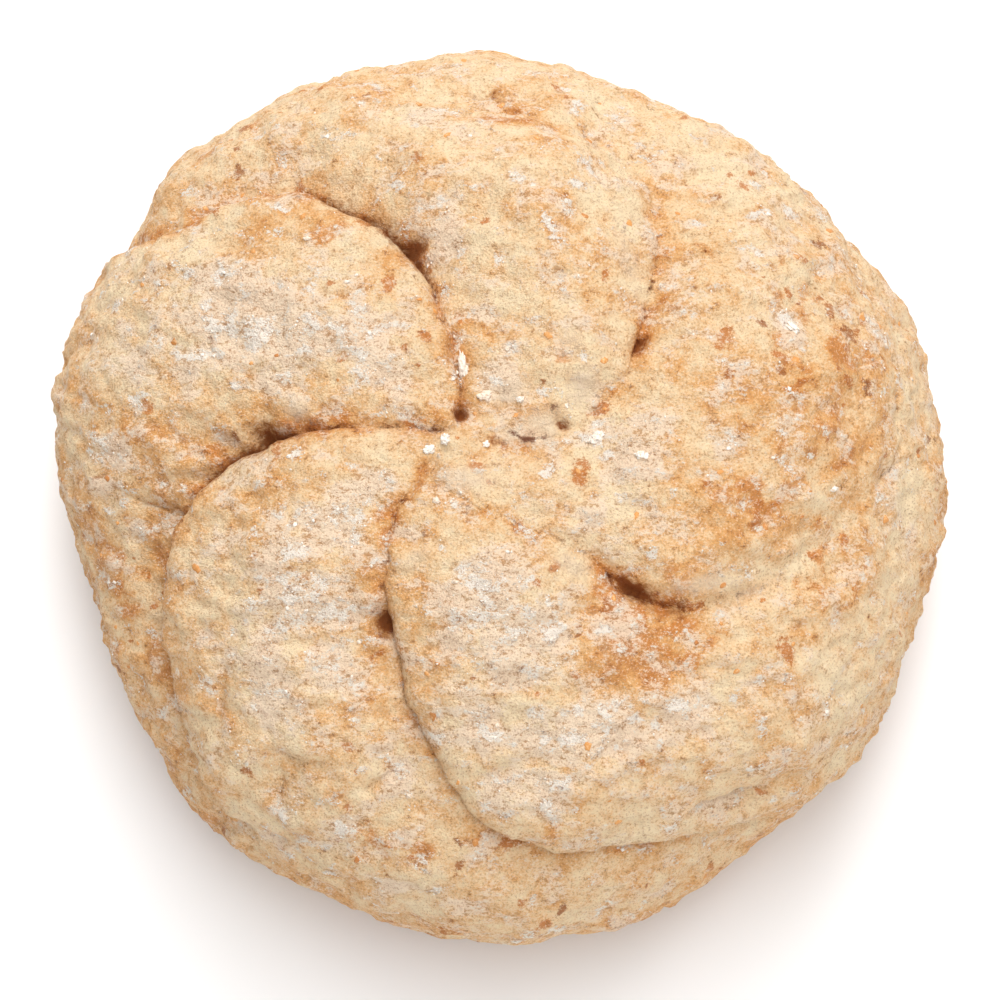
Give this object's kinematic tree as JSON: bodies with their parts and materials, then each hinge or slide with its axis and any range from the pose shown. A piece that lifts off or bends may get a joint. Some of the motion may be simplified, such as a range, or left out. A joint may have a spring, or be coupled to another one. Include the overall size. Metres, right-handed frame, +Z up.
{
  "type": "kaiser roll",
  "caption": "Round wholemeal bread roll with a crown folded into a five-lobed pinwheel and a flat foot to rest on.",
  "frame": {"origin": "middle of the flat foot, on the surface that the roll rests on", "axes": "+Z up through the crown; +X and +Y lie in the resting surface, with the pinwheel turning anticlockwise from the middle out, seen from above"},
  "size_m": [0.104, 0.1044, 0.0503],
  "materials": {
    "crust": "pale baked wholemeal crust, matt, dusted with flour"
  },
  "bodies": {
    "root": {"roll": "crust"}
  },
  "joints": []
}
